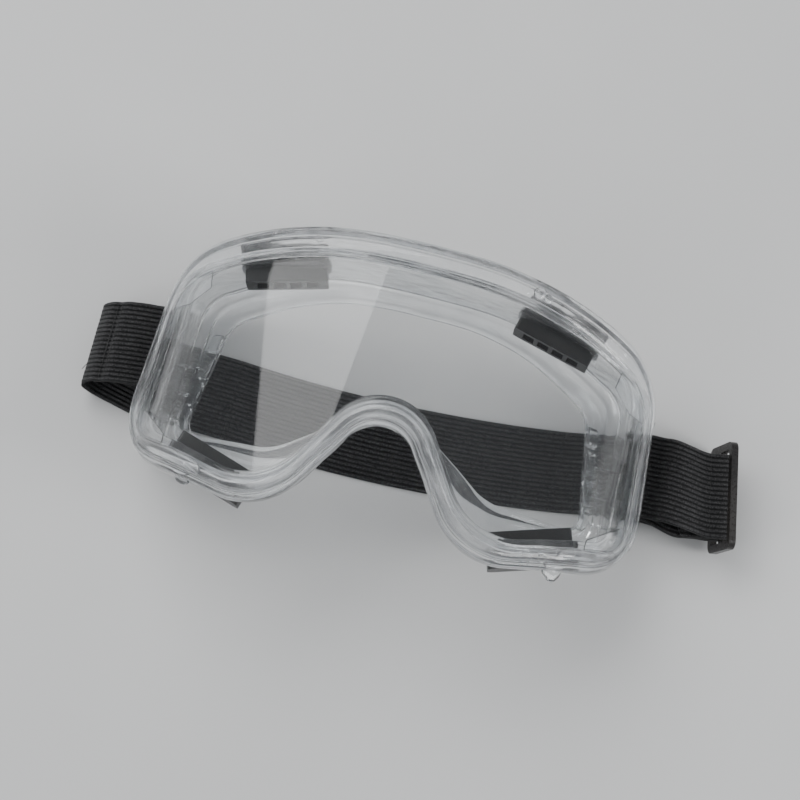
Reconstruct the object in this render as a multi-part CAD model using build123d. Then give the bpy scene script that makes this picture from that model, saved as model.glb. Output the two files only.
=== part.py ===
from build123d import *
import math
import os

# Indirect-vent safety goggles, lying lens up on their folded strap.
# +X across the face, +Y towards the brow, +Z out through the lens; z = 0 under the strap.
# Everything is in millimetres.

# ---- lens profile across the face (X-Z), as its outer surface
LENS_TOP = 74.0       # height of the lens at the middle
R_MID = 118.0         # radius of the middle of the lens
X_MID = 58.0          # half width of that middle arc
R_END = 64.0          # tighter radius towards each temple
END_SLOPE = 60.0      # slope at which the temple end turns straight, degrees
LENS_T = 2.0
FIT = 0.05            # play between the lens and its groove

# ---- rim, as distances out from the lens's outer surface
RIM_BASE, RIM_BAND, RIM_BEAD = 1.3, 2.2, 3.0
RIM_BACK = 3.6        # depth of the rim behind that surface

# ---- outlines seen along Z: half width x, y, corner radius, from brow to nose.
# The brow corner, given no radius, is eased over as much of its sides as they allow.
INNER = [(40.9, 40.8, 0), (83.0, 26.2, 14.5), (86.2, -27.1, 8.3), (35.2, -41.3, 23.6), (0, 12.4, 19.0)]
OUTER = [(43.0, 50.8, 0), (86.5, 35.8, 25.5), (93.2, -34.2, 25.0), (32.0, -49.4, 24.0), (0, -1.8, 12.5)]
WALL = [(41.0, 44.0, 0), (79.0, 29.5, 14.0), (81.5, -27.0, 9.0), (34.2, -42.0, 23.0), (0, 12.5, 17.5)]
LIP = [(42.0, 46.5, 0), (81.5, 31.5, 15.0), (83.8, -28.8, 10.5), (33.4, -43.6, 24.0), (0, 10.4, 16.5)]
OPENING = [(33.0, 35.4, 0), (64.5, 19.5, 10.0), (71.5, -21.5, 5.0), (38.0, -21.5, 20.0), (0, 4.5, 9.0)]
WALL_T = 2.0
BROW_EASE = 0.6       # share of the side from brow to temple taken by the brow's arc

# ---- face flange: an arc across the face that follows the forehead and cheeks
FACE_TOP = 35.0
FACE_R = 124.0
FLANGE_T = 2.2

# ---- vents
VENT_L, VENT_H = 29.0, 12.0
HOOD_D = 4.0
VENT_IN = 7.2                     # how far a vent's box reaches in from the wall's face
BOSS_T = 3.0                      # thickness of the wall where a vent sits
BROW_VENT = (48.0, 40.0, 44.0, 15.0)       # x, y, z of the vent's seat and the wall's slope there
CHEEK_VENT = (56.0, -35.4, 38.5, -17.6)

# ---- strap, lugs and slider
STRAP_W, STRAP_T = 30.0, 1.5
LUG_X, LUG_Z, BAR_R = 87.5, 9.0, 1.7
RELIEF_X, RELIEF_Y, RELIEF_Z, RELIEF_W = 88.6, 3.0, 15.4, 46.0
LUG_Y0, LUG_Y1, ARM_T = -15.0, 24.5, 3.2
WRAP_GAP = 0.3                    # strap to any bar it wraps
RIGHT_Y, RIGHT_YAW = 4.9, 4.0     # where the strap leaves the right lug, and its angle
BAR_X, BAR_Y, BAR_YAW = 118.8, 3.9, 10.5   # middle of the slider's bar, and the slider's angle
SLIDER_LEAN = 12.0                # the slider's top leans outwards
SLIDER_L, SLIDER_H, SLIDER_T = 38.0, 21.0, 2.4
SLIDER_Z = 12.1                   # height of its middle bar
SLIDER_BAR = 1.2                  # radius of that bar
SLIDER_EDGE = 2.8                 # width of its outer bars
PUFF = [(14.0, 31.0), (14.0, 35.0)]   # left top layer: arc up, then arc over and down, radius and angle
RUN_X = 60.0                      # half length of the run that stays flat on the table


def lerp(a, b, t):
    return [tuple(p + (q - p) * t for p, q in zip(m, n)) for m, n in zip(a, b)]


def outline(table):
    """Symmetric closed face: straight sides joined by arcs, one for each corner of the table."""
    brow_y = table[0][1]
    half = [(x, y) for x, y, _ in table]
    pts = [(0, brow_y)] + half + [(-x, y) for x, y in half[-2::-1]]
    radii = [0] + [r for _, _, r in table] + [r for _, _, r in table[-2::-1]]
    edges, last, first = [], Vector(0, brow_y), Vector(0, brow_y)
    n = len(pts)
    for i in range(1, n):
        a, b, c = (Vector(*pts[(i + k) % n]) for k in (-1, 0, 1))
        u, v = (a - b).normalized(), (c - b).normalized()
        half_angle = math.radians(u.get_angle(v)) / 2
        radius = radii[i] or min(table[0][0], BROW_EASE * math.dist(table[0][:2], table[1][:2])) * math.tan(half_angle)
        reach = radius / math.tan(half_angle)
        start, end = b + u * reach, b + v * reach
        middle = (u + v).normalized()
        mid = b + middle * (radius / math.sin(half_angle) - radius)
        if (start - last).length > 1e-5:
            edges.append(Edge.make_line(last, start))
        else:
            start = last
        edges.append(Edge.make_three_point_arc(start, mid, end))
        last = end
    if (first - last).length > 1e-5:
        edges.append(Edge.make_line(last, first))
    return Face(Wire(edges))


def prism(face, z0=-10.0, z1=110.0):
    return extrude(Pos(0, 0, z0) * face, amount=z1 - z0, dir=(0, 0, 1))


def ring(outer, inner):
    return prism(outer) - prism(inner)


def profile(d, reach=30.0):
    """Edges across the face at distance d outside the lens surface, and their two end points."""
    a1, a2 = math.asin(X_MID / R_MID), math.radians(END_SLOPE)
    mid_z = LENS_TOP - R_MID
    end_x = (R_MID - R_END) * math.sin(a1)
    end_z = mid_z + (R_MID - R_END) * math.cos(a1)

    def on_mid(a):
        return Vector((R_MID + d) * math.sin(a), 0, mid_z + (R_MID + d) * math.cos(a))

    def on_end(a, side):
        return Vector(side * (end_x + (R_END + d) * math.sin(a)), 0, end_z + (R_END + d) * math.cos(a))

    def tip(side):
        p = on_end(a2, side)
        return p + Vector(side * math.cos(a2), 0, -math.sin(a2)) * reach

    am = (a1 + a2) / 2
    edges = [
        Edge.make_line(tip(-1), on_end(a2, -1)),
        Edge.make_three_point_arc(on_end(a2, -1), on_end(am, -1), on_mid(-a1)),
        Edge.make_three_point_arc(on_mid(-a1), on_mid(0), on_mid(a1)),
        Edge.make_three_point_arc(on_mid(a1), on_end(am, 1), on_end(a2, 1)),
        Edge.make_line(on_end(a2, 1), tip(1)),
    ]
    return edges, tip(-1), tip(1)


def sleeve(out, back):
    """The shell between two distances from the lens surface, run through in Y."""
    top, a, b = profile(out)
    low, c, d = profile(back)
    face = Face(Wire(top + [Edge.make_line(b, d)] + low + [Edge.make_line(c, a)]))
    return extrude(face, amount=80, dir=(0, 1, 0), both=True)


def behind(back):
    """Everything behind that distance from the lens surface."""
    top, a, b = profile(back)
    floor = -60.0
    p, q = Vector(b.X, 0, floor), Vector(a.X, 0, floor)
    face = Face(Wire(top + [Edge.make_line(b, p), Edge.make_line(p, q), Edge.make_line(q, a)]))
    return extrude(face, amount=80, dir=(0, 1, 0), both=True)


def face_cylinder(out):
    """The round body whose top is the face side of the goggles, grown by out."""
    return Pos(0, 0, FACE_TOP - FACE_R) * Rot(90, 0, 0) * Cylinder(FACE_R + out, 160)


def face_z(x):
    return FACE_TOP - FACE_R + math.sqrt(FACE_R ** 2 - x ** 2)


def mirror_x(shape):
    return mirror(shape, about=Plane.YZ)


def polygon(points):
    return Face(Wire.make_polygon([Vector(*p) for p in points], close=True))


# ---- frame moulding

def rim_table(t):
    return lerp(INNER, OUTER, t)


def make_rim():
    seat = -LENS_T - FIT
    rim = ring(outline(rim_table(1.0)), outline(rim_table(0.0))) & sleeve(RIM_BASE, seat)
    # the back of the rim reaches in as far as the wall it stands on
    rim += ring(outline(rim_table(1.0)), offset(outline(WALL), amount=-WALL_T)) & sleeve(seat, -RIM_BACK)
    rim += ring(outline(rim_table(1.0)), outline(rim_table(0.76))) & sleeve(RIM_BEAD, 0.5)
    rim += ring(outline(rim_table(0.66)), outline(rim_table(0.16))) & sleeve(RIM_BAND, 0.5)
    rim -= prism(outline(rim_table(0.36))) & sleeve(FIT, seat)
    # corner tabs that reach over the lens's corners
    brow = [(92, 17.5), (77.5, 18.8), (70.6, 24.6), (72.3, 34), (92, 34)]
    cheek = [(92, -19), (83.9, -19.1), (73, -27.8), (72.5, -40), (92, -40)]
    for tab in (brow, cheek):
        web = prism(polygon(tab)) & prism(outline(rim_table(0.1))) & sleeve(1.0, FIT)
        rim += web
        rim += mirror_x(web)
    # relief at the back of each temple, so that the strap's loop can lift
    for side in (1, -1):
        rim -= Pos(side * (RELIEF_X + 5), RELIEF_Y, RELIEF_Z - 5) * Box(10, RELIEF_W, 10)
    return rim


def make_lens():
    return prism(outline(rim_table(0.32))) & sleeve(0, -LENS_T)


def make_wall(vent_tools):
    wall = ring(outline(WALL), offset(outline(WALL), amount=-WALL_T))
    for place in vent_places().values():
        wall += place * (Pos(-BOSS_T / 2, 0, 0) * Box(BOSS_T, VENT_L + 2, VENT_H + 2))
    wall &= behind(-RIM_BACK)
    wall -= face_cylinder(FLANGE_T)
    for tool in vent_tools:
        wall -= tool
    return wall


def make_flange():
    band = face_cylinder(FLANGE_T) - face_cylinder(0)
    flange = ring(outline(LIP), outline(OPENING)) & band
    inner_wall = offset(outline(WALL), amount=-WALL_T)
    half = outline(lerp(OPENING, LIP, 0.42))
    rib = outline(lerp(OPENING, LIP, 0.52))
    edge = outline(lerp(OPENING, LIP, 0.16))
    low = face_cylinder(FLANGE_T + 0.9) - face_cylinder(FLANGE_T - 0.5)
    flange += (prism(rib) - prism(half)) & prism(inner_wall) & low
    flange += ring(edge, outline(OPENING)) & low
    # tall slit bead at each temple, tied to the wall by thin ribs
    tall = face_cylinder(FLANGE_T + 4.0) - face_cylinder(FLANGE_T - 0.5)
    bead = ring(outline(lerp(OPENING, LIP, 0.3)), outline(OPENING)) & Pos(70, -3, 40) * Box(20, 36, 90) & tall
    for y in (-12, -2, 8):
        bead -= Pos(70, y, 44.0) * Box(30, 1.2, 60)
    for y in (-17, -7, 3):
        bead += Pos(73.0, y, 20) * Box(14, 1.0, 60) & prism(inner_wall) & tall
    # slits stop at the flange itself
    bead += ring(outline(lerp(OPENING, LIP, 0.3)), outline(OPENING)) & Pos(70, -3, 40) * Box(20, 36, 90) & low
    flange += bead
    flange += mirror_x(bead)
    return flange


def make_lug(side, flange):
    bar_tilt = RIGHT_YAW if side > 0 else 0.0
    wall_x = 79.0
    tip = LUG_X + BAR_R + 0.5
    far_y = LUG_Y1 if side < 0 else LUG_Y1 - 3.2
    arm = Box(tip - wall_x, ARM_T, 6.0)
    mid_x = (tip + wall_x) / 2
    lug = Pos(mid_x, far_y + ARM_T / 2, LUG_Z) * arm + Pos(mid_x, LUG_Y0 - ARM_T / 2, LUG_Z) * arm
    length = far_y - LUG_Y0 + 2 * ARM_T
    pivot_y = RIGHT_Y if side > 0 else (LUG_Y0 + LUG_Y1) / 2
    centre = (LUG_Y0 + far_y) / 2 - pivot_y
    bar = Pos(0, centre, 0) * Rot(90, 0, 0) * Cylinder(BAR_R, length)
    lug += Pos(LUG_X, pivot_y, LUG_Z) * Rot(0, 0, bar_tilt) * bar
    if side < 0:
        lug = mirror_x(lug)
    # the arms start at the outside of the body wall and stand on the flange
    lug = lug - prism(outline(WALL)) - flange
    return max(lug.solids(), key=lambda solid: solid.volume)


# ---- vents: each sits on the wall, with u pointing out, v along the wall and Z up

def vent_places():
    places = {}
    for name, (x, y, z, slope) in (("brow", BROW_VENT), ("cheek", CHEEK_VENT)):
        out = 90 if y > 0 else -90
        places[f"{name}_right"] = Pos(x, y, z) * Rot(0, 0, out - slope)
        places[f"{name}_left"] = Pos(-x, y, z) * Rot(0, 0, out + slope)
    return places


def vent_neck(length, play):
    return Pos(-BOSS_T / 2, 0, 0) * Box(length, VENT_L - 4 + play, VENT_H - 3 + play)


def make_vent_base():
    plate = Pos(0.6, 0, 0) * Box(1.2, VENT_L + 2, VENT_H + 2)
    plate = fillet(plate.edges().filter_by(Axis.X), 3.5)
    depth = VENT_IN - BOSS_T
    box = Pos(-BOSS_T - depth / 2, 0, 0) * Box(depth, VENT_L - 1, VENT_H - 1)
    box = fillet(box.edges().filter_by(Axis.X), 1.0)
    base = plate + vent_neck(BOSS_T + 0.2, 0) + box
    for y in (-8.4, -2.8, 2.8, 8.4):
        base -= Pos(-3, y, 0) * Box(14, 4.2, VENT_H - 5.5)
    return base


def make_vent_hood():
    hood = Pos(1.2 + HOOD_D / 2, 0, 0) * Box(HOOD_D, VENT_L, VENT_H)
    hood = fillet(hood.edges().filter_by(Axis.X), 3.0)
    hood -= Pos(1.2 + (HOOD_D - 1.2) / 2, 0, 0) * Box(HOOD_D - 1.2, VENT_L - 2.4, VENT_H + 4)
    for y in (-3.6, 3.6):
        hood += Pos(1.2 + HOOD_D / 2, y, 0) * Box(HOOD_D, 1.0, VENT_H - 1)
    return hood


# ---- strap

def s_steps(ds, dz):
    """Two equal arcs that carry a ribbon ds along and dz up and leave its heading unchanged."""
    turn = 2 * math.atan2(abs(dz), ds)
    radius = ds / (2 * math.sin(turn))
    deg = math.degrees(turn) * (1 if dz > 0 else -1)
    return [("arc", radius, deg), ("arc", radius, -deg)]


def ribbon_face(s, z, heading, steps):
    """Side view of a band of the strap's thickness that follows lines and arcs in the X-Z plane."""
    half = STRAP_T / 2
    left, right = [], []

    def sides(px, pz, a):
        nx, nz = -math.sin(a), math.cos(a)
        return Vector(px + nx * half, 0, pz + nz * half), Vector(px - nx * half, 0, pz - nz * half)

    a = math.radians(heading)
    first = sides(s, z, a)
    now = first
    for step in steps:
        if step[0] == "line":
            s, z = s + step[1] * math.cos(a), z + step[1] * math.sin(a)
            new = sides(s, z, a)
            left.append(Edge.make_line(now[0], new[0]))
            right.append(Edge.make_line(now[1], new[1]))
        else:
            _, radius, deg = step
            sign = 1 if deg > 0 else -1
            cx, cz = s - sign * math.sin(a) * radius, z + sign * math.cos(a) * radius
            where = []
            for part in (0.5, 1.0):
                b = a + math.radians(deg) * part
                where.append((cx + sign * math.sin(b) * radius, cz - sign * math.cos(b) * radius, b))
            mid, new = sides(*where[0]), sides(*where[1])
            left.append(Edge.make_three_point_arc(now[0], mid[0], new[0]))
            right.append(Edge.make_three_point_arc(now[1], mid[1], new[1]))
            s, z, a = where[1]
        now = new
    return Face(Wire(left + [Edge.make_line(now[0], now[1])] + right[::-1] + [Edge.make_line(first[1], first[0])]))


def ribbon(s, z, heading, steps, y0, y1):
    return extrude(Pos(0, y0, 0) * ribbon_face(s, z, heading, steps), amount=y1 - y0, dir=(0, 1, 0))


LUG_FRAME = Pos(LUG_X, RIGHT_Y, 0) * Rot(0, 0, RIGHT_YAW)      # s along X, from the lug's bar
BAR_FRAME = Pos(BAR_X, BAR_Y, 0) * Rot(0, 0, BAR_YAW)          # s along X, from the slider's bar


LUG_WRAP = BAR_R + WRAP_GAP + STRAP_T / 2            # strap centre line round a lug bar
HEM_WRAP = SLIDER_BAR + WRAP_GAP + STRAP_T / 2       # sewn end round the slider's bar
FOLD_WRAP = HEM_WRAP + WRAP_GAP + STRAP_T            # main strap round that
HALF_W = STRAP_W / 2
LOW = STRAP_T / 2                                    # centre line of strap lying on the table
LAP = 3.0                                            # straight part each side of a lug bar
SLOT = -5.0                                          # where the fold meets the free layers
HEM_END, HEM_Z = -15.5, 11.3                         # where the sewn end stops, and its height there


def lug_band(s, z, heading, steps):
    return LUG_FRAME * ribbon(s, z, heading, steps, -HALF_W, HALF_W)


def bar_band(s, z, heading, steps):
    return BAR_FRAME * ribbon(s, z, heading, steps, -HALF_W, HALF_W)


def free_layer(end_s, z, climb):
    """A layer from the lug's bar to a line near the slider's, ruled between its two edges.

    climb(span) gives the steps for an edge of that span."""
    sides = []
    for y in (-HALF_W, HALF_W):
        p = (LUG_FRAME * Pos(LAP, y, 0)).position
        q = (BAR_FRAME * Pos(end_s, y, 0)).position
        span = (q - p).length
        yaw = math.degrees(math.atan2(q.Y - p.Y, q.X - p.X))
        sides.append(Pos(p.X, p.Y, 0) * Rot(0, 0, yaw) * ribbon_face(0, z, 0, climb(span)))
    return Solid(loft(sides, ruled=True).wrapped)


def make_lug_loop():
    return lug_band(LAP, LUG_Z + LUG_WRAP, 180, [("line", LAP), ("arc", LUG_WRAP, 180), ("line", LAP)])


def make_top_layer():
    """Puffs up out of the lug and dips again into the slider's upper slot."""
    start, peak, end = LUG_Z + LUG_WRAP, 18.6, SLIDER_Z + FOLD_WRAP
    crest = 0.55

    def climb(span):
        return s_steps(span * crest, peak - start) + s_steps(span * (1 - crest), end - peak)
    return free_layer(SLOT, start, climb)


def make_under_layer():
    start = LUG_Z - LUG_WRAP
    return free_layer(HEM_END, start, lambda span: s_steps(span, HEM_Z - start))


def make_fold():
    steps = [("line", -SLOT), ("arc", FOLD_WRAP, -180), ("line", -SLOT)]
    return bar_band(SLOT, SLIDER_Z + FOLD_WRAP, 0, steps)


def make_hem():
    low, high = SLIDER_Z - HEM_WRAP, SLIDER_Z + HEM_WRAP
    top = HEM_Z + STRAP_T + FIT
    run = -HEM_END - 5
    steps = [("line", 2)] + s_steps(run, low - HEM_Z) + [("line", 3), ("arc", HEM_WRAP, 180), ("line", 3)]
    steps += s_steps(run, high - top) + [("line", 2)]
    return bar_band(HEM_END, HEM_Z, 0, steps)


def make_hem_seam():
    z = HEM_Z + 1.5 * STRAP_T + FIT + 0.15
    rows = [Pos(HEM_END + s, 0, z) * Box(0.5, STRAP_W - 4, 0.3) for s in (0.6, 1.5)]
    return BAR_FRAME * (rows[0] + rows[1])


RUN_FAR = [(-RUN_X, 12.0), (0, 10.5), (RUN_X, 15.5)]
RUN_NEAR = [(x, y - STRAP_W) for x, y in RUN_FAR]
LEFT_END = -95.0
FOLD_X = -(LUG_X + 28.0)
LEFT_TOP = [(-LUG_X + 4, 23.8), (FOLD_X, 18.0), (FOLD_X, -12.0), (-LUG_X + 4, -6.2)]
LEFT_LOW = [(LEFT_END, 13.2), (FOLD_X, 18.0), (FOLD_X, -12.0), (LEFT_END, -16.8)]


def slab(edges):
    return extrude(Face(Wire(edges)), amount=STRAP_T, dir=(0, 0, 1))


def vec(points):
    return [Vector(*p) for p in points]


def make_run():
    far, near = vec(RUN_FAR), vec(RUN_NEAR)
    return slab([
        Edge.make_three_point_arc(*far), Edge.make_line(far[2], near[2]),
        Edge.make_three_point_arc(near[2], near[1], near[0]), Edge.make_line(near[0], far[0]),
    ])


def make_run_left():
    far0, near0 = Vector(*RUN_FAR[0]), Vector(*RUN_NEAR[0])
    far1, near1 = Vector(*LEFT_LOW[0]), Vector(*LEFT_LOW[3])
    return slab([
        Edge.make_line(far0, far1), Edge.make_line(far1, near1),
        Edge.make_line(near1, near0), Edge.make_line(near0, far0),
    ])


def make_run_right():
    c, s = math.cos(math.radians(RIGHT_YAW)), math.sin(math.radians(RIGHT_YAW))
    base = Vector(LUG_X + LAP * c, RIGHT_Y + LAP * s)
    side = Vector(-s, c) * HALF_W
    far, near = Vector(*RUN_FAR[2]), Vector(*RUN_NEAR[2])
    along, end_dir = Vector(1, 0.14), Vector(c, s)
    flat = slab([
        Edge.make_spline([far, base + side], tangents=[along, end_dir]),
        Edge.make_line(base + side, base - side),
        Edge.make_spline([base - side, near], tangents=[-end_dir, -along]),
        Edge.make_line(near, far),
    ])
    rise = SLIDER_Z - FOLD_WRAP - LOW
    return flat + free_layer(SLOT, LOW, lambda span: [("line", 2)] + s_steps(span - 2, rise))


def puff_arcs():
    """Centre (s, z) of the arc over the puffed layer, and the radius of the fold that follows it."""
    (r1, up), (r2, down) = PUFF
    a, b = math.radians(up), math.radians(down)
    s = r1 * math.sin(a) + r2 * math.sin(a)
    z = LUG_Z + LUG_WRAP + r1 * (1 - math.cos(a)) - r2 * math.cos(a)
    end_s, end_z = s + r2 * math.sin(b), z + r2 * math.cos(b)
    fold_r = (end_z - LOW) / (1 + math.cos(b))
    return s, z, fold_r, end_s - fold_r * math.sin(b)


def make_left_loop():
    (r1, up), (r2, down) = PUFF
    over_s, over_z, fold_r, low_s = puff_arcs()
    under_r = r2 - STRAP_T - FIT
    lap = math.radians(down - 5)
    start = (over_s + under_r * math.sin(lap), over_z + under_r * math.cos(lap))
    drop = over_z + under_r - LUG_Z + LUG_WRAP
    steps = [("arc", under_r, down - 5)] + s_steps(over_s - 1, drop) + [("line", 1)]
    steps += [("arc", LUG_WRAP, -180), ("arc", r1, up), ("arc", r2, -up - down), ("arc", fold_r, down - 180)]
    steps += [("line", low_s + LUG_X + LEFT_END)]
    band = Pos(LUG_X, 0, 0) * ribbon(*start, 180 - down + 5, steps, -30, 40)
    band = mirror_x(band)
    # seen from above, the layer over the lug slants one way and the layer on the table the other
    low = Pos(-LUG_X - 64, 0, fold_r + LOW - 50) * Box(100, 200, 100) + Pos(0, 0, -48) * Box(400, 200, 100)
    return ((band & low) & prism(polygon(LEFT_LOW))) + ((band - low) & prism(polygon(LEFT_TOP)))


def make_left_seam():
    """Two rows of stitches pressed onto the puffed layer, each square to its slope."""
    over_s, over_z, _, _ = puff_arcs()
    rows = []
    for lean in (14.0, 20.0):
        a = math.radians(lean)
        r = PUFF[1][0] + STRAP_T / 2 + 0.15
        spot = Pos(-LUG_X - over_s - r * math.sin(a), 4.5, over_z + r * math.cos(a))
        rows.append(spot * Rot(0, -lean, 0) * Box(0.6, STRAP_W - 4, 0.26))
    return rows[0] + rows[1]


def make_slider():
    frame = Box(SLIDER_T, SLIDER_L, SLIDER_H)
    frame = fillet(frame.edges().filter_by(Axis.X), 3.0)
    frame -= Box(10, SLIDER_L - 2 * SLIDER_EDGE, SLIDER_H - 2 * SLIDER_EDGE)
    frame += Rot(90, 0, 0) * Cylinder(SLIDER_BAR, SLIDER_L - 2)
    return BAR_FRAME * Pos(0, 0, SLIDER_Z) * Rot(0, SLIDER_LEAN, 0) * frame


def build():
    nodes = {}
    base, hood = make_vent_base(), make_vent_hood()
    tools = []
    for name, place in vent_places().items():
        nodes[f"vent_base_{name}"] = place * base
        nodes[f"vent_hood_{name}"] = place * hood
        tools.append(place * vent_neck(BOSS_T + 6, 0.2))
    wall = make_wall(tools)
    for name in vent_places():
        wall -= nodes[f"vent_base_{name}"]
    nodes["frame_wall"] = wall
    nodes["frame_rim"] = make_rim()
    nodes["face_flange"] = make_flange()
    nodes["strap_lug_left"] = make_lug(-1, nodes["face_flange"])
    nodes["strap_lug_right"] = make_lug(1, nodes["face_flange"])
    nodes["lens"] = make_lens()
    nodes["strap_left_loop"] = make_left_loop()
    nodes["strap_left_seam"] = make_left_seam()
    nodes["strap_run_left"] = make_run_left()
    nodes["strap_run"] = make_run()
    nodes["strap_run_right"] = make_run_right()
    nodes["strap_lug_loop"] = make_lug_loop()
    nodes["strap_top_layer"] = make_top_layer()
    nodes["strap_under_layer"] = make_under_layer()
    nodes["strap_fold"] = make_fold()
    nodes["strap_hem"] = make_hem()
    nodes["strap_hem_seam"] = make_hem_seam()
    nodes["slider"] = make_slider()
    return nodes


os.makedirs("parts", exist_ok=True)
for name, shape in build().items():
    print(name, len(shape.solids()), round(shape.volume))
    export_step(shape, f"parts/{name}.step")
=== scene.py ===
import bpy
import bmesh
import math
import random
from mathutils import Matrix, Vector, noise


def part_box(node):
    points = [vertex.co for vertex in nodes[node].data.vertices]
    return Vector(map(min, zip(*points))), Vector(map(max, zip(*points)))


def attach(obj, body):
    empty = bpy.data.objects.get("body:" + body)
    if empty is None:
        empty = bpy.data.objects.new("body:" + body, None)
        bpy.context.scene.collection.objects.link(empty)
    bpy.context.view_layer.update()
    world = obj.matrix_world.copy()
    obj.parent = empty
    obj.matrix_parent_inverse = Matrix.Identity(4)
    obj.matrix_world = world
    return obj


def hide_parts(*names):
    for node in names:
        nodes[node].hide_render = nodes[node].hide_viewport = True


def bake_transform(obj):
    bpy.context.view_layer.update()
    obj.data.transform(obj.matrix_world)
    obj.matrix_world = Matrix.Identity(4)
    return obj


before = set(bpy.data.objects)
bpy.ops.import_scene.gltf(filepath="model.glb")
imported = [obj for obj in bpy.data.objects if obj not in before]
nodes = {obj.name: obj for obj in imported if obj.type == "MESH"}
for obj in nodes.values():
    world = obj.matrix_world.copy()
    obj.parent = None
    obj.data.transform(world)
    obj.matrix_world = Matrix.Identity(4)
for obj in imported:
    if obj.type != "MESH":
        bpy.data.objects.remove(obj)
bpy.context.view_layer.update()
random.seed(7)
MM = 0.001
UP = Vector((0, 0, 1))
FLOOR_HALF = 1500.0

# ---------------------------------------------------------------- shared dimensions, mm
LENS_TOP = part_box("lens")[1][2] / MM
R_MID, X_MID, R_END, END_SLOPE = 118.0, 58.0, 64.0, math.radians(60.0)
LENS_T = 2.0
FACE_TOP, FACE_R = 35.0, 124.0
BROW_EASE = 0.6
# where the back of each temple is cut away for the strap's loop
RELIEF_X, RELIEF_Y, RELIEF_Z, RELIEF_W = 88.0, 3.0, 15.4, 46.0

# outlines seen along Z: half width x, y, corner radius, from brow to nose
INNER = [(40.9, 40.8, 0), (83.0, 26.2, 14.5), (86.2, -27.1, 8.3), (35.2, -41.3, 23.6), (0, 12.4, 19.0)]
OUTER = [(43.0, 50.8, 0), (86.5, 35.8, 25.5), (93.2, -34.2, 25.0), (32.0, -49.4, 24.0), (0, -1.8, 12.5)]
WALL = [(41.0, 44.0, 0), (79.0, 29.5, 14.0), (81.5, -27.0, 9.0), (34.2, -42.0, 23.0), (0, 12.5, 17.5)]
LIP = [(42.0, 46.5, 0), (81.5, 31.5, 15.0), (83.8, -28.8, 10.5), (33.4, -43.6, 24.0), (0, 10.4, 16.5)]
OPENING = [(33.0, 35.4, 0), (64.5, 19.5, 10.0), (71.5, -21.5, 5.0), (38.0, -21.5, 20.0), (0, 4.5, 9.0)]

STRAP_W, STRAP_T, RIBS = 30.0, 1.5, 18
HALF_W, LOW = STRAP_W / 2, STRAP_T / 2
LUG_X, LUG_Z = 87.5, 9.0
LUG_WRAP = 1.7 + 0.3 + LOW
LAP = 3.0
RIGHT_Y, RIGHT_YAW = 4.9, math.radians(4.0)
BAR_X, BAR_Y, BAR_YAW, BAR_Z = 118.8, 3.9, math.radians(10.5), 12.1
HEM_WRAP = 1.2 + 0.3 + LOW
FOLD_WRAP = HEM_WRAP + 0.3 + STRAP_T
WEAVE_SIDE = 40.0   # keeps the two faces of the strap apart in the weave's UV map
SLOT = -5.0
HEM_END, HEM_Z = -15.5, 11.3


# ---------------------------------------------------------------- small helpers

def lerp(a, b, t):
    return [tuple(p + (q - p) * t for p, q in zip(m, n)) for m, n in zip(a, b)]


def link(obj):
    bpy.context.scene.collection.objects.link(obj)
    return obj


def new_object(name, verts, faces, smooth=True, uvs=None):
    """A mesh object from points in mm."""
    mesh = bpy.data.meshes.new(name)
    mesh.from_pydata([[c * MM for c in v] for v in verts], [], faces)
    if uvs:
        layer = mesh.uv_layers.new(name="weave")
        for loop in mesh.loops:
            layer.data[loop.index].uv = uvs[loop.vertex_index]
    bm = bmesh.new()
    bm.from_mesh(mesh)
    bmesh.ops.recalc_face_normals(bm, faces=bm.faces)
    bm.to_mesh(mesh)
    bm.free()
    mesh.polygons.foreach_set("use_smooth", [smooth] * len(mesh.polygons))
    return link(bpy.data.objects.new(name, mesh))


def from_bmesh(name, bm, smooth=True):
    bmesh.ops.scale(bm, vec=(MM, MM, MM), verts=bm.verts)
    bmesh.ops.recalc_face_normals(bm, faces=bm.faces)
    mesh = bpy.data.meshes.new(name)
    bm.to_mesh(mesh)
    bm.free()
    mesh.polygons.foreach_set("use_smooth", [smooth] * len(mesh.polygons))
    return link(bpy.data.objects.new(name, mesh))


def finish_piece(obj, body, mat, replaced=()):
    obj.data.materials.clear()
    obj.data.materials.append(mat)
    if body:
        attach(obj, body)
    if replaced:
        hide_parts(*replaced)
    return obj


def modifier(obj, kind, **settings):
    mod = obj.modifiers.new(kind.title(), kind)
    for key, value in settings.items():
        setattr(mod, key, value)
    return mod


def bevel(obj, width, segments=2):
    modifier(obj, "BEVEL", width=width * MM, segments=segments, limit_method="ANGLE",
             angle_limit=math.radians(40), harden_normals=False)


def tube_verts(rings, closed=False):
    """Vertices and faces of a skin through rings of equal length, with end caps unless closed."""
    n, m = len(rings[0]), len(rings)
    verts = [tuple(v) for ring in rings for v in ring]
    faces = []
    for i in range(m if closed else m - 1):
        k = (i + 1) % m
        faces += [(i * n + j, i * n + (j + 1) % n, k * n + (j + 1) % n, k * n + j) for j in range(n)]
    if not closed:
        faces += [tuple(range(n)), tuple(range((m - 1) * n, m * n))]
    return verts, faces


def merge(parts):
    verts, faces = [], []
    for v, f in parts:
        faces += [tuple(i + len(verts) for i in face) for face in f]
        verts += v
    return verts, faces


# ---------------------------------------------------------------- camera, floor and light

def look(azimuth, elevation):
    a, e = math.radians(azimuth), math.radians(elevation)
    back = Vector((math.sin(a) * math.cos(e), -math.cos(a) * math.cos(e), math.sin(e)))
    right = Vector((math.cos(a), math.sin(a), 0))
    return right, back.cross(right), back


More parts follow.
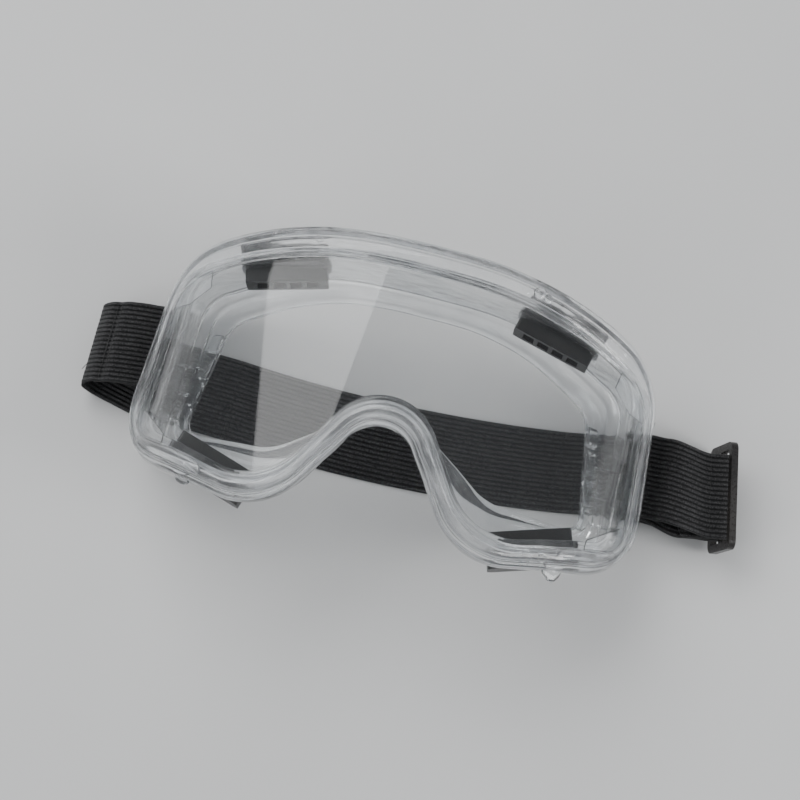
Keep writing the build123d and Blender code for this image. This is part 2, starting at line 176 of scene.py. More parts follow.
def make_camera():
    right, up, back = look(14.3, 78.6)
    data = bpy.data.cameras.new("camera")
    data.sensor_width, data.lens = 36.0, 85.6
    data.clip_start, data.clip_end = 0.01, 20
    cam = link(bpy.data.objects.new("camera", data))
    m = Matrix((right, up, back)).transposed().to_4x4()
    m.translation = Vector((0.0326, -0.1201, 0.6783))
    cam.matrix_world = m
    bpy.context.scene.camera = cam


def make_floor():
    mat, n, links, bsdf = material("pale_floor")
    coord = n.new("ShaderNodeTexCoord").outputs["Object"]
    cloud = noise_node(n, links, 9, 3.0, coord)
    colour = ramp(n, links, cloud.outputs["Fac"], [(0.3, (0.66, 0.66, 0.655)), (0.7, (0.69, 0.69, 0.685))])
    links.new(colour.outputs["Color"], bsdf.inputs["Base Color"])
    bsdf.inputs["Roughness"].default_value = 0.55
    bsdf.inputs["Specular IOR Level"].default_value = 0.25
    s = FLOOR_HALF
    corners = [(-s, -s, 0), (s, -s, 0), (s, s, 0), (-s, s, 0)]
    floor = new_object("floor", corners, [(0, 1, 2, 3)], smooth=False)
    floor.data.materials.append(mat)


def area_light(name, where, aim, size, power, colour=(1, 1, 1)):
    data = bpy.data.lights.new(name, "AREA")
    data.shape, data.size, data.size_y = "RECTANGLE", size[0], size[1]
    data.energy, data.color = power, colour
    light = link(bpy.data.objects.new(name, data))
    light.location = where
    light.rotation_euler = (Vector(aim) - Vector(where)).to_track_quat("-Z", "Y").to_euler()


def make_light():
    world = bpy.data.worlds.new("studio")
    bpy.context.scene.world = world
    world.use_nodes = True
    world.node_tree.nodes["Background"].inputs["Color"].default_value = (0.80, 0.83, 0.87, 1)
    world.node_tree.nodes["Background"].inputs["Strength"].default_value = 0.50
    area_light("key", (-0.60, 0.55, 1.00), (0, 0, 0.02), (1.1, 0.8), 11.0)
    area_light("side", (0.85, -0.05, 0.42), (0.04, 0, 0.03), (0.25, 0.6), 5.0)
    area_light("fill", (-0.75, -0.55, 0.55), (0, 0, 0.02), (0.6, 0.6), 3.0)


# ---------------------------------------------------------------- materials

def material(name):
    mat = bpy.data.materials.new(name)
    mat.use_nodes = True
    return mat, mat.node_tree.nodes, mat.node_tree.links, mat.node_tree.nodes["Principled BSDF"]


def noise_node(n, links, scale, detail=3.0, vector=None, rough=0.55):
    tex = n.new("ShaderNodeTexNoise")
    tex.inputs["Scale"].default_value = scale
    tex.inputs["Detail"].default_value = detail
    tex.inputs["Roughness"].default_value = rough
    if vector:
        links.new(vector, tex.inputs["Vector"])
    return tex


def ramp(n, links, source, stops):
    r = n.new("ShaderNodeValToRGB")
    links.new(source, r.inputs["Fac"])
    for i, (pos, colour) in enumerate(stops):
        e = r.color_ramp.elements[i] if i < 2 else r.color_ramp.elements.new(pos)
        e.position = pos
        e.color = (*colour, 1)
    return r


def grey(v):
    return (v, v, v)


def bump(n, links, height, strength, distance, below=None):
    b = n.new("ShaderNodeBump")
    b.inputs["Strength"].default_value = strength
    b.inputs["Distance"].default_value = distance
    links.new(height, b.inputs["Height"])
    if below:
        links.new(below.outputs["Normal"], b.inputs["Normal"])
    return b


def math_node(n, links, operation, a, b=None):
    m = n.new("ShaderNodeMath")
    m.operation = operation
    for socket, value in ((m.inputs[0], a), (m.inputs[1], b)):
        if isinstance(value, (int, float)):
            socket.default_value = value
        elif value is not None:
            links.new(value, socket)
    return m.outputs["Value"]


def clear_pvc(name, clearest, cloudiest, roughest):
    """Soft clear moulding: slightly milky, wavy inside, with a fine grain and hazy patches."""
    mat, n, links, bsdf = material(name)
    coord = n.new("ShaderNodeTexCoord").outputs["Object"]
    bsdf.inputs["IOR"].default_value = 1.45
    bsdf.inputs["Specular IOR Level"].default_value = 0.6
    flow = noise_node(n, links, 60, 2.0, coord)
    grain = noise_node(n, links, 1100, 3.0, coord)
    patch = noise_node(n, links, 130, 4.0, coord)
    tint = ramp(n, links, flow.outputs["Fac"], [(0.3, (0.94, 0.96, 0.975)), (0.7, (0.985, 0.99, 0.995))])
    links.new(tint.outputs["Color"], bsdf.inputs["Base Color"])
    haze = ramp(n, links, patch.outputs["Fac"], [(0.38, grey(clearest)), (0.75, grey(cloudiest))])
    links.new(haze.outputs["Color"], bsdf.inputs["Transmission Weight"])
    gloss = ramp(n, links, grain.outputs["Fac"], [(0.35, grey(0.02)), (0.75, grey(roughest))])
    links.new(gloss.outputs["Color"], bsdf.inputs["Roughness"])
    wave = bump(n, links, flow.outputs["Fac"], 0.5, 0.0008)
    fine = bump(n, links, grain.outputs["Fac"], 0.12, 0.0001, wave)
    links.new(fine.outputs["Normal"], bsdf.inputs["Normal"])
    return mat


def clear_lens():
    mat, n, links, bsdf = material("clear_lens")
    coord = n.new("ShaderNodeTexCoord").outputs["Object"]
    bsdf.inputs["Transmission Weight"].default_value = 1.0
    bsdf.inputs["IOR"].default_value = 1.38
    haze = noise_node(n, links, 220, 4.0, coord)
    tint = ramp(n, links, haze.outputs["Fac"], [(0.3, (0.965, 0.975, 0.98)), (0.7, (0.99, 0.995, 0.995))])
    links.new(tint.outputs["Color"], bsdf.inputs["Base Color"])
    gloss = ramp(n, links, haze.outputs["Fac"], [(0.45, grey(0.0)), (0.8, grey(0.03))])
    links.new(gloss.outputs["Color"], bsdf.inputs["Roughness"])
    return mat


def webbing():
    """Ribbed elastic: UV is in mm, u along the strap and v across it, one rib per STRAP_W / RIBS."""
    mat, n, links, bsdf = material("ribbed_webbing")
    uv = n.new("ShaderNodeUVMap")
    uv.uv_map = "weave"
    split = n.new("ShaderNodeSeparateXYZ")
    links.new(uv.outputs["UV"], split.inputs["Vector"])
    phase = math_node(n, links, "MULTIPLY", split.outputs["Y"], math.pi * RIBS / STRAP_W)
    rib = math_node(n, links, "ABSOLUTE", math_node(n, links, "SINE", phase))
    crest = math_node(n, links, "POWER", rib, 0.7)
    # knit loops, longer across the strap than along it, over a coarser unevenness
    stretch = n.new("ShaderNodeMapping")
    stretch.inputs["Scale"].default_value = (3.6, 2.2, 1.0)
    links.new(uv.outputs["UV"], stretch.inputs["Vector"])
    knit = noise_node(n, links, 1.0, 3.0, stretch.outputs["Vector"], 0.75)
    loops = n.new("ShaderNodeTexVoronoi")
    loops.inputs["Scale"].default_value = 1.15
    links.new(stretch.outputs["Vector"], loops.inputs["Vector"])
    patch = noise_node(n, links, 0.10, 2.0, uv.outputs["UV"])
    near_loop = math_node(n, links, "SUBTRACT", 1.25, loops.outputs["Distance"])
    speckle = math_node(n, links, "MULTIPLY", knit.outputs["Fac"], near_loop)
    # painted light and shade: the colour is lighter on the rib crests and knit speckles (painted highlights)
    # and darker in the grooves between ribs (painted shade)
    painted_rib_light = math_node(n, links, "MULTIPLY", speckle, crest)
    rib_light_and_shade = [(0.08, grey(0.003)), (0.30, (0.020, 0.020, 0.021)), (0.62, (0.105, 0.104, 0.106))]
    colour = ramp(n, links, painted_rib_light, rib_light_and_shade)
    links.new(colour.outputs["Color"], bsdf.inputs["Base Color"])
    rough = ramp(n, links, patch.outputs["Fac"], [(0.3, grey(0.70)), (0.7, grey(0.88))])
    links.new(rough.outputs["Color"], bsdf.inputs["Roughness"])
    bsdf.inputs["Specular IOR Level"].default_value = 0.35
    bsdf.inputs["Sheen Weight"].default_value = 0.12
    bsdf.inputs["Sheen Roughness"].default_value = 0.4
    first = bump(n, links, crest, 0.8, 0.0005)
    second = bump(n, links, speckle, 0.7, 0.0003, first)
    links.new(second.outputs["Normal"], bsdf.inputs["Normal"])
    return mat


def black_plastic(name, low, high, roughness, grain_size):
    mat, n, links, bsdf = material(name)
    coord = n.new("ShaderNodeTexCoord").outputs["Object"]
    grain = noise_node(n, links, grain_size, 4.0, coord)
    cloud = noise_node(n, links, 70, 2.0, coord)
    colour = ramp(n, links, cloud.outputs["Fac"], [(0.3, low), (0.75, high)])
    links.new(colour.outputs["Color"], bsdf.inputs["Base Color"])
    stops = [(0.3, grey(roughness - 0.08)), (0.75, grey(roughness + 0.1))]
    rough = ramp(n, links, grain.outputs["Fac"], stops)
    links.new(rough.outputs["Color"], bsdf.inputs["Roughness"])
    b = bump(n, links, grain.outputs["Fac"], 0.25, 0.00012)
    links.new(b.outputs["Normal"], bsdf.inputs["Normal"])
    return mat


def thread():
    mat, n, links, bsdf = material("thread")
    coord = n.new("ShaderNodeTexCoord").outputs["Object"]
    twist = n.new("ShaderNodeTexWave")
    twist.bands_direction = "DIAGONAL"
    twist.inputs["Scale"].default_value = 900
    links.new(coord, twist.inputs["Vector"])
    colour = ramp(n, links, twist.outputs["Fac"], [(0.2, grey(0.008)), (0.8, grey(0.05))])
    links.new(colour.outputs["Color"], bsdf.inputs["Base Color"])
    bsdf.inputs["Roughness"].default_value = 0.6
    b = bump(n, links, twist.outputs["Fac"], 0.6, 0.0001)
    links.new(b.outputs["Normal"], bsdf.inputs["Normal"])
    return mat


# ---------------------------------------------------------------- outlines and surfaces

# samples along one half: brow line, brow arc, line, corner arc, and so on to the middle of the nose arc
COUNTS = (4, 14, 8, 12, 16, 12, 10, 14, 12, 10)


def outline(table):
    """Points and outward normals round the whole outline, clockwise from the brow's middle;
    every table gives the same count, so that equal indices face each other."""
    half = [(x, y) for x, y, _ in table]
    pts = [(0, table[0][1])] + half + [(-half[3][0], half[3][1])]
    right, last = [], Vector(pts[0])
    for i in range(1, 6):
        a, b, c = (Vector(pts[i + k]) for k in (-1, 0, 1))
        u, v = (a - b).normalized(), (c - b).normalized()
        half_angle = u.angle(v) / 2
        radius = table[i - 1][2] or min(table[0][0], BROW_EASE * (b - c).length) * math.tan(half_angle)
        reach = radius / math.tan(half_angle)
        start, end = b + u * reach, b + v * reach
        centre = b + (u + v).normalized() * radius / math.sin(half_angle)
        for k in range(COUNTS[2 * i - 2]):
            right.append(last.lerp(start, k / COUNTS[2 * i - 2]))
        a0 = math.atan2(*(start - centre).yx)
        turn = (math.atan2(*(end - centre).yx) - a0 + math.pi) % (2 * math.pi) - math.pi
        if i == 5:
            turn /= 2
        for k in range(COUNTS[2 * i - 1]):
            an = a0 + turn * k / COUNTS[2 * i - 1]
            right.append(centre + Vector((math.cos(an), math.sin(an))) * radius)
        last = end
        if i == 5:
            right.append(Vector((0, centre.y + radius)))
    left = [Vector((-p.x, p.y)) for p in right[-2:0:-1]]
    loop = right + left
    out = []
    for i, p in enumerate(loop):
        t = (loop[(i + 1) % len(loop)] - loop[i - 1]).normalized()
        out.append((p, Vector((-t.y, t.x))))
    return out


A1 = math.asin(X_MID / R_MID)
END_CX = (R_MID - R_END) * math.sin(A1)
END_CZ = LENS_TOP - R_MID + (R_MID - R_END) * math.cos(A1)


def lens_z(x, d):
    """Height at x of the surface at distance d outside the lens."""
    x = abs(x)
    r, q = R_MID + d, R_END + d
    if x <= r * math.sin(A1):
        return LENS_TOP - R_MID + math.sqrt(r * r - x * x)
    if x <= END_CX + q * math.sin(END_SLOPE):
        return END_CZ + math.sqrt(q * q - (x - END_CX) ** 2)
    return END_CZ + q * math.cos(END_SLOPE) - (x - END_CX - q * math.sin(END_SLOPE)) * math.tan(END_SLOPE)


def lens_normal(x):
    a = math.asin(min(abs(x) / R_MID, math.sin(A1)))
    if abs(x) > X_MID:
        a = math.asin(min((abs(x) - END_CX) / R_END, math.sin(END_SLOPE)))
    return Vector((math.copysign(math.sin(a), x), 0, math.cos(a)))


def face_z(x, d):
    return FACE_TOP - FACE_R + math.sqrt((FACE_R + d) ** 2 - x * x)


def rim(t):
    return lerp(INNER, OUTER, t)


def flange(t):
    return lerp(OPENING, LIP, t)


# ---------------------------------------------------------------- clear frame

def frame_section():
    """The moulding's cross-section, as (outline, outward offset, surface, distance) round the loop."""
    front = [
        (0.00, 0.12), (0.00, 0.8), (0.015, 1.15), (0.045, 1.3), (0.11, 1.25), (0.155, 1.35), (0.175, 1.95),
        (0.205, 2.2), (0.30, 2.32), (0.42, 2.4), (0.53, 2.35), (0.61, 2.2), (0.64, 1.95), (0.66, 1.3),
        (0.70, 1.05), (0.74, 1.3), (0.765, 2.4), (0.80, 2.9), (0.86, 3.0), (0.93, 2.95), (0.975, 2.5),
        (1.0, 1.7), (1.0, 0.0), (1.0, -1.3), (1.0, -2.6), (0.985, -3.35), (0.95, -3.6), (0.7, -3.6),
    ]
    section = [(rim(t), 0, lens_z, d) for t, d in front]
    section += [(WALL, 1.4, lens_z, -3.6), (WALL, 0.5, lens_z, -3.8), (WALL, 0.0, lens_z, -4.6)]
    section += [(WALL, 0.0, "mix", t) for t in (0.12, 0.3, 0.5, 0.7, 0.88)]
    section += [(WALL, 0.0, face_z, 3.2), (WALL, 0.4, face_z, 2.4)]
    section += [(LIP, off, face_z, d) for off, d in ((-0.5, 2.2), (0.0, 1.7), (0.0, 0.5), (-0.5, 0.0))]
    section += [(flange(t), 0, face_z, 0.0) for t in (0.75, 0.5, 0.25)]
    section += [(OPENING, 0.5, face_z, 0.0), (OPENING, 0.0, face_z, 0.5), (OPENING, 0.0, face_z, 2.5),
                (OPENING, 0.5, face_z, 3.05)]
    section += [(flange(t), 0, face_z, d) for t, d in (
        (0.12, 3.05), (0.155, 2.6), (0.18, 2.2), (0.40, 2.2),
        (0.42, 2.9), (0.47, 3.15), (0.52, 2.9), (0.54, 2.2))]
    section += [(WALL, -3.2, face_z, 2.2), (WALL, -2.2, face_z, 2.4), (WALL, -2.0, face_z, 3.2)]
    section += [(WALL, -2.0, "mix", t) for t in (0.88, 0.7, 0.5, 0.3, 0.12)]
    section += [(WALL, -2.0, lens_z, -3.6), (WALL, -2.0, lens_z, -2.4), (WALL, -1.6, lens_z, -2.06)]
    section += [(rim(0.34), 0, lens_z, -2.06), (rim(0.36), 0, lens_z, -1.9), (rim(0.36), 0, lens_z, -0.1),
                (rim(0.34), 0, lens_z, 0.06), (rim(0.03), 0, lens_z, 0.06)]
    return section


def wobble(p, size, depth):
    """A small smooth displacement, as soft mouldings have."""
    return noise.noise_vector(p / size) * depth


def make_frame(mat):
    rings = []
    for table, off, surface, d in frame_section():
        ring = []
        for p, nrm in outline(table):
            q = p + nrm * off
            if surface == "mix":
                z = lens_z(q.x, -4.6) * (1 - d) + face_z(q.x, 3.2) * d
            else:
                z = surface(q.x, d)
            v = Vector((q.x, q.y, z))
            v += wobble(v, 9.0, 0.16) + wobble(v, 3.0, 0.04)
            if abs(v.x) > RELIEF_X and abs(v.y - RELIEF_Y) < RELIEF_W / 2:
                v.z = max(v.z, RELIEF_Z)
            ring.append(v)
        rings.append(ring)
    verts, faces = tube_verts(rings, closed=True)
    obj = new_object("frame_moulding", verts, faces)
    modifier(obj, "SUBSURF", levels=1, render_levels=1)
    finish_piece(obj, "goggles", mat, ("frame_rim", "frame_wall", "face_flange"))


def clipped_patch(name, polygon, low, high, mat, rim_limit):
    """A plate over a convex polygon seen along Z, between two distances from the lens, both sides of X."""
    for side, label in ((1, "right"), (-1, "left")):
        bm = bmesh.new()
        xs, ys = [p[0] for p in polygon], [p[1] for p in polygon]
        size = Vector((max(xs) - min(xs), max(ys) - min(ys), 1))
        centre = Vector(((max(xs) + min(xs)) / 2, (max(ys) + min(ys)) / 2, 0))
        bmesh.ops.create_grid(bm, x_segments=24, y_segments=24, size=0.5,
                              matrix=Matrix.Translation(centre) @ Matrix.Diagonal((*size.xy, 1, 1)))
        middle = sum((Vector(p) for p in polygon), Vector((0, 0))) / len(polygon)
        planes = []
        for p, q in zip(polygon, polygon[1:] + polygon[:1]):
            along = Vector(q) - Vector(p)
            out = Vector((-along.y, along.x))
            planes.append((Vector(p), out if out.dot(Vector(p) - middle) > 0 else -out))
        planes += [(p, out) for p, out in outline(rim(rim_limit)) if (p - middle).length < 26 and p.x > 60]
        for origin, out in planes:
            geom = bm.verts[:] + bm.edges[:] + bm.faces[:]
            bmesh.ops.bisect_plane(bm, geom=geom, plane_co=(*origin, 0), plane_no=(*out, 0),
                                   clear_outer=True)
        top = bmesh.ops.extrude_face_region(bm, geom=bm.faces[:])["geom"]
        raised = {v for v in top if isinstance(v, bmesh.types.BMVert)}
        for v in bm.verts:
            v.co.z = lens_z(v.co.x, high if v in raised else low)
            v.co.x *= side
        obj = from_bmesh(f"{name}_{label}", bm, smooth=False)
        bevel(obj, 0.25)
        finish_piece(obj, "goggles", mat)


def corner_tabs(mat):
    """Flat webs over the lens's four corners."""
    brow = [(90, 17.7), (77.5, 18.8), (70.6, 24.6), (72.3, 34), (90, 34)]
    cheek = [(90, -19), (83.9, -19.1), (73, -27.8), (72.5, -38), (90, -38)]
    for name, polygon in (("brow_tab", brow), ("cheek_tab", cheek)):
        clipped_patch(name, polygon, 0.1, 1.0, mat, 0.06)


def edge_x(table, y):
    """Largest x of an outline at height y."""
    loop = [p for p, _ in outline(table)]
    xs = []
    for i, p in enumerate(loop):
        q = loop[(i + 1) % len(loop)]
        if (p.y - y) * (q.y - y) <= 0 and p.y != q.y:
            xs.append(p.x + (q.x - p.x) * (y - p.y) / (q.y - p.y))
    return max(xs)


def temple_beads(mat):
    """The tall slit bead inside each temple, in four lengths, and the thin ribs that tie it to the wall."""
    for side, label in ((1, "right"), (-1, "left")):
        parts = []
        for y0, y1 in ((-20.5, -12.6), (-11.4, -2.6), (-1.4, 7.4), (8.6, 15.0)):
            rings = []
            for k in range(7):
                y = y0 + (y1 - y0) * k / 6
                a, b = edge_x(OPENING, y) + 0.2, edge_x(flange(0.28), y)
                section = [(a, 2.3), (a, 5.6), (a + 0.5, 6.2), (b - 0.5, 6.2), (b, 5.6), (b, 2.3)]
                if k in (0, 6):
                    section = [(a + (x - a) * 0.7 + (b - a) * 0.15, d - 0.25 if d > 3 else d)
                               for x, d in section]
                rings.append([Vector((side * x, y, face_z(x, d))) for x, d in section])
            parts.append(tube_verts(rings))
        for y in (-17, -7, 3):
            x0, x1 = edge_x(flange(0.28), y) - 0.3, edge_x(WALL, y) - 1.6
            rings = []
            for k in range(7):
                x = x0 + (x1 - x0) * k / 6
                lift = 5.6 - 2.2 * math.sin(math.pi * k / 6) * 0.6
                rings.append([Vector((side * x, y + w, face_z(x, d)))
                              for w, d in ((-0.5, 2.3), (-0.35, lift), (0.35, lift), (0.5, 2.3))])
            parts.append(tube_verts(rings))
        obj = new_object(f"temple_bead_{label}", *merge(parts), smooth=False)
        bevel(obj, 0.2)
        finish_piece(obj, "goggles", mat)


def on_rim(x, y, d):
    return Vector((x, y, lens_z(x, 0))) + lens_normal(x) * d


def ring_mark(x, y, radius, thick, d, gap=0.0):
    """Raised ring left by an ejector pin; gap opens it on the side towards the outside of the rim."""
    up = lens_normal(x)
    side = Vector((0, 1, 0)).cross(up).normalized()
    rings = []
    count = 28
    for k in range(count + (1 if gap else 0)):
        a = -math.pi / 2 + gap / 2 + (2 * math.pi - gap) * k / count
        out = side * math.cos(a) + Vector((0, 1, 0)) * math.sin(a)
        c = on_rim(x, y, d) + out * radius
        rings.append([c + out * thick * math.cos(b) + up * thick * math.sin(b)
                      for b in (2 * math.pi * j / 8 for j in range(8))])
    return tube_verts(rings, closed=not gap)


def blob(centre, radius, flat, up, seed):
    """A flattened uneven bead of material."""
    rings = []
    side = up.orthogonal().normalized()
    other = up.cross(side)
    for i in range(1, 7):
        lat = -math.pi / 2 + math.pi * i / 7
        rings.append([])
        for j in range(12):
            a = 2 * math.pi * j / 12
            uneven = 0.18 * noise.noise(Vector((math.cos(a) + seed, math.sin(a), seed)))
            r = radius * math.cos(lat) * (1 + uneven)
            around = side * math.cos(a) + other * math.sin(a)
            rings[-1].append(centre + around * r + up * flat * math.sin(lat))
    return tube_verts(rings)


def fin(points, thick, z_of):
    """A thin plate of moulding flash or a pull tab, level with z_of(x)."""
    n = len(points)
    mid = Vector((sum(p[0] for p in points) / n, sum(p[1] for p in points) / n))
    rings = []
    for d, shrink in ((-thick, 0.9), (-thick * 0.6, 1.0), (thick * 0.6, 1.0), (thick, 0.9)):
        rings.append([])
        for p in points:
            q = mid + (Vector(p) - mid) * shrink
            rings[-1].append(Vector((q.x, q.y, z_of(q.x) + d)))
    return tube_verts(rings)


def mould_marks(mat):
    """Ejector rings, gate, pull tabs and small flash, on the goggles' rim."""
    parts = [
        ring_mark(53.1, -40.3, 2.1, 0.42, 2.5, 1.0), ring_mark(58.3, -39.0, 1.5, 0.36, 2.5),
        ring_mark(-36.2, 45.0, 1.3, 0.3, 2.35),
        blob(on_rim(37.5, 44.9, 2.4), 2.4, 0.8, lens_normal(37.5), 1.0),
        blob(on_rim(40.6, 43.9, 2.3), 1.8, 0.6, lens_normal(40.6), 4.0),
    ]
    tab = [(58.5, -39.5), (61.0, -43.6), (63.6, -45.2), (65.9, -44.8), (67.8, -41.0), (67.0, -38.0)]
    parts.append(fin(tab, 0.8, lambda x: lens_z(x, -1.4)))
    nub = [(-66.0, -38.5), (-65.2, -42.2), (-62.5, -43.8), (-59.4, -44.0), (-57.8, -41.0)]
    parts.append(fin(nub, 0.9, lambda x: lens_z(x, -1.6)))
    obj = new_object("mould_marks", *merge(parts))
    modifier(obj, "SUBSURF", levels=1, render_levels=1)
    finish_piece(obj, "goggles", mat)


def rim_sleeve(name, t0, t1, first, last, low, high, side, mat):
    """A thicker stretch of the rim, between two places along the outline given as (x, y)."""
    loops = [outline(rim(t0 + (t1 - t0) * k / 6)) for k in range(7)]
    centre = loops[3]
    total = len(centre)

    def nearest(x, y):
        return min(range(total), key=lambda i: (centre[i][0] - Vector((x, y))).length)
    i0, i1 = nearest(*first), nearest(*last)
    step = 1 if ((i1 - i0) % total) < total / 2 else -1
    span = (i1 - i0) * step % total
    rings = []
    for k in range(span + 1):
        i = (i0 + step * k) % total
        fade = min(1.0, k / 2, (span - k) / 2)
        section = []
        for j, lift in enumerate((0.0, 0.7, 1.0, 1.0, 1.0, 0.7, 0.0)):
            p = loops[j][i][0]
            h = low + (high - low) * lift * (0.35 + 0.65 * fade)
            section.append(Vector((p.x * side, p.y, lens_z(p.x, h))))
        section += [Vector((v.x, v.y, lens_z(v.x, low - 0.4))) for v in section[::-1]]
        rings.append(section)
    obj = new_object(name, *tube_verts(rings))
    modifier(obj, "SUBSURF", levels=1, render_levels=1)
    finish_piece(obj, "goggles", mat)


def temple_dots(mat):
    """The row of small moulded pips along the groove of each temple."""
    parts = []
    for side in (1, -1):
        for k in range(26):
            y = -24.0 + 1.45 * k
            x = edge_x(rim(0.70), y)
            c = on_rim(x, y, 1.25)
            c.x *= side
            up = lens_normal(x * side)
            parts.append(blob(c, 0.42, 0.42, up, k * 0.7))
    finish_piece(new_object("temple_pips", *merge(parts)), "goggles", mat)


# ---------------------------------------------------------------- lens

def span_at(loop, x):
    """Lowest and highest y of the closed outline at x."""
    ys = []
    for i, p in enumerate(loop):
        q = loop[(i + 1) % len(loop)]
        if (p.x - x) * (q.x - x) <= 0 and p.x != q.x:
            ys.append(p.y + (q.y - p.y) * (x - p.x) / (q.x - p.x))
    return min(ys), max(ys)


def make_lens(mat):
    loop = [p for p, _ in outline(rim(0.32))]
    edge = max(p.x for p in loop) - 0.02
    columns, rows = 120, 36
    xs = [edge * math.sin(math.pi / 2 * (2 * i / columns - 1)) for i in range(columns + 1)]
    verts, faces = [], []
    for x in xs:
        low, high = span_at(loop, x)
        for j in range(rows + 1):
            verts.append((x, low + (high - low) * j / rows, lens_z(x, 0.0)))
    for i in range(columns):
        for j in range(rows):
            a = i * (rows + 1) + j
            faces.append((a, a + rows + 1, a + rows + 2, a + 1))
    obj = new_object("lens_sheet", verts, faces)
    modifier(obj, "SOLIDIFY", thickness=LENS_T * MM, offset=-1.0)
    finish_piece(obj, "goggles", mat, ("lens",))


# ---------------------------------------------------------------- strap

def s_steps(ds, dz):
    """Two equal arcs that carry a ribbon ds along and dz up and leave its heading unchanged."""
    turn = 2 * math.atan2(abs(dz), ds)
    radius = ds / (2 * math.sin(turn))
    turn = math.degrees(turn) * (1 if dz > 0 else -1)
    return [("arc", radius, turn), ("arc", radius, -turn)]


def trace(s, z, heading, steps, pitch=0.9):
    """Samples (s, z, heading) along lines and arcs."""
    a = math.radians(heading)
    path = [(s, z, a)]
    for step in steps:
        if step[0] == "line":
            count = max(1, round(step[1] / pitch))
            for k in range(1, count + 1):
                t = step[1] * k / count
                path.append((s + t * math.cos(a), z + t * math.sin(a), a))
        else:
            _, radius, deg = step
            sign = 1 if deg > 0 else -1
            cx, cz = s - sign * math.sin(a) * radius, z + sign * math.cos(a) * radius
            count = max(2, round(abs(math.radians(deg)) * radius / pitch), round(abs(deg) / 7))
            for k in range(1, count + 1):
                b = a + math.radians(deg) * k / count
                path.append((cx + sign * math.sin(b) * radius, cz - sign * math.cos(b) * radius, b))
        s, z, a = path[-1]
    return path


def rib_height(v):
    """Half thickness across the strap: ribs with narrow grooves, and a rounded edge."""
    rib = abs(math.sin(math.pi * RIBS * (v * 0.5 + 0.5)))
    from_edge = (1 - abs(v)) * HALF_W
    edge = max(0.0, 1 - from_edge / 0.7)
    return LOW * (0.62 + 0.38 * rib ** 0.5) * math.sqrt(1 - edge * edge * 0.8)


def make_webbing(name, stations, offset=0.0, rounded_end=0.0):
    """stations are (near edge, far edge, normal) in mm; the strap's thickness lies along the normal."""
    n = RIBS * 6
    vs = [-1 + 2 * k / n for k in range(n + 1)]
    mids = [(near + far) / 2 for near, far, _ in stations]
    along = [0.0]
    for a, b in zip(mids, mids[1:]):
        along.append(along[-1] + (b - a).length)
    rings, uvs = [], []
    for (near, far, normal), u in zip(stations, along):
        left = min(along[-1] - u, rounded_end)
        inset = rounded_end - math.sqrt(rounded_end ** 2 - (rounded_end - left) ** 2) if rounded_end else 0.0
        squeeze = 1 - inset / HALF_W
        ring = []
        for v, side in [(v, 1) for v in vs] + [(v, -1) for v in vs[::-1]]:
            p = near.lerp(far, (v * squeeze + 1) / 2)
            ripple = 0.10 * noise.noise(Vector((u + offset, v * HALF_W, 0)) / 5)
            p = p + normal * (rib_height(v) * side + ripple)
            p.z = max(p.z, 0.0)
            ring.append(p)
            uvs.append((u + offset, v * squeeze * HALF_W + side * WEAVE_SIDE))
        rings.append(ring)
    verts, faces = tube_verts(rings)
    return new_object(name, verts, faces, uvs=uvs)


def in_plan(origin, yaw, s, y):
    c, q = math.cos(yaw), math.sin(yaw)
    return Vector((origin[0] + s * c - y * q, origin[1] + s * q + y * c, 0))


def lug_point(s, y):
    return in_plan((LUG_X, RIGHT_Y), RIGHT_YAW, s, y)


def bar_point(s, y):
    return in_plan((BAR_X, BAR_Y), BAR_YAW, s, y)


def heading_vector(yaw):
    return Vector((math.cos(yaw), math.sin(yaw), 0))


def framed_stations(point, yaw, path):
    along = heading_vector(yaw)
    out = []
    for s, z, a in path:
        lift = UP * z
        normal = UP * math.cos(a) - along * math.sin(a)
        out.append((point(s, -HALF_W) + lift, point(s, HALF_W) + lift, normal))
    return out


def hermite(p, q, tp, tq, t):
    return (p * (2 * t**3 - 3 * t**2 + 1) + tp * (t**3 - 2 * t**2 + t)
            + q * (-2 * t**3 + 3 * t**2) + tq * (t**3 - t**2))


def free_stations(end_s, z, climb, pull, start_s=LAP):
    """From the lug's bar to a line near the slider's; climb(span) gives the steps seen from the side
    and pull says how far each end keeps its own heading."""
    span = (bar_point(end_s, 0) - lug_point(start_s, 0)).length
    along = (bar_point(end_s, 0) - lug_point(start_s, 0)).normalized()
    chord = bar_point(end_s, 0) - lug_point(start_s, 0)
    leave = chord.lerp(heading_vector(RIGHT_YAW) * span, pull)
    arrive = chord.lerp(heading_vector(BAR_YAW) * span, pull)
    out = []
    for s, height, a in trace(0, z, 0, climb(span)):
        near, far = (hermite(lug_point(start_s, y), bar_point(end_s, y), leave, arrive, s / span)
                     + UP * height for y in (-HALF_W, HALF_W))
        out.append((near, far, UP * math.cos(a) - along * math.sin(a)))
    return out


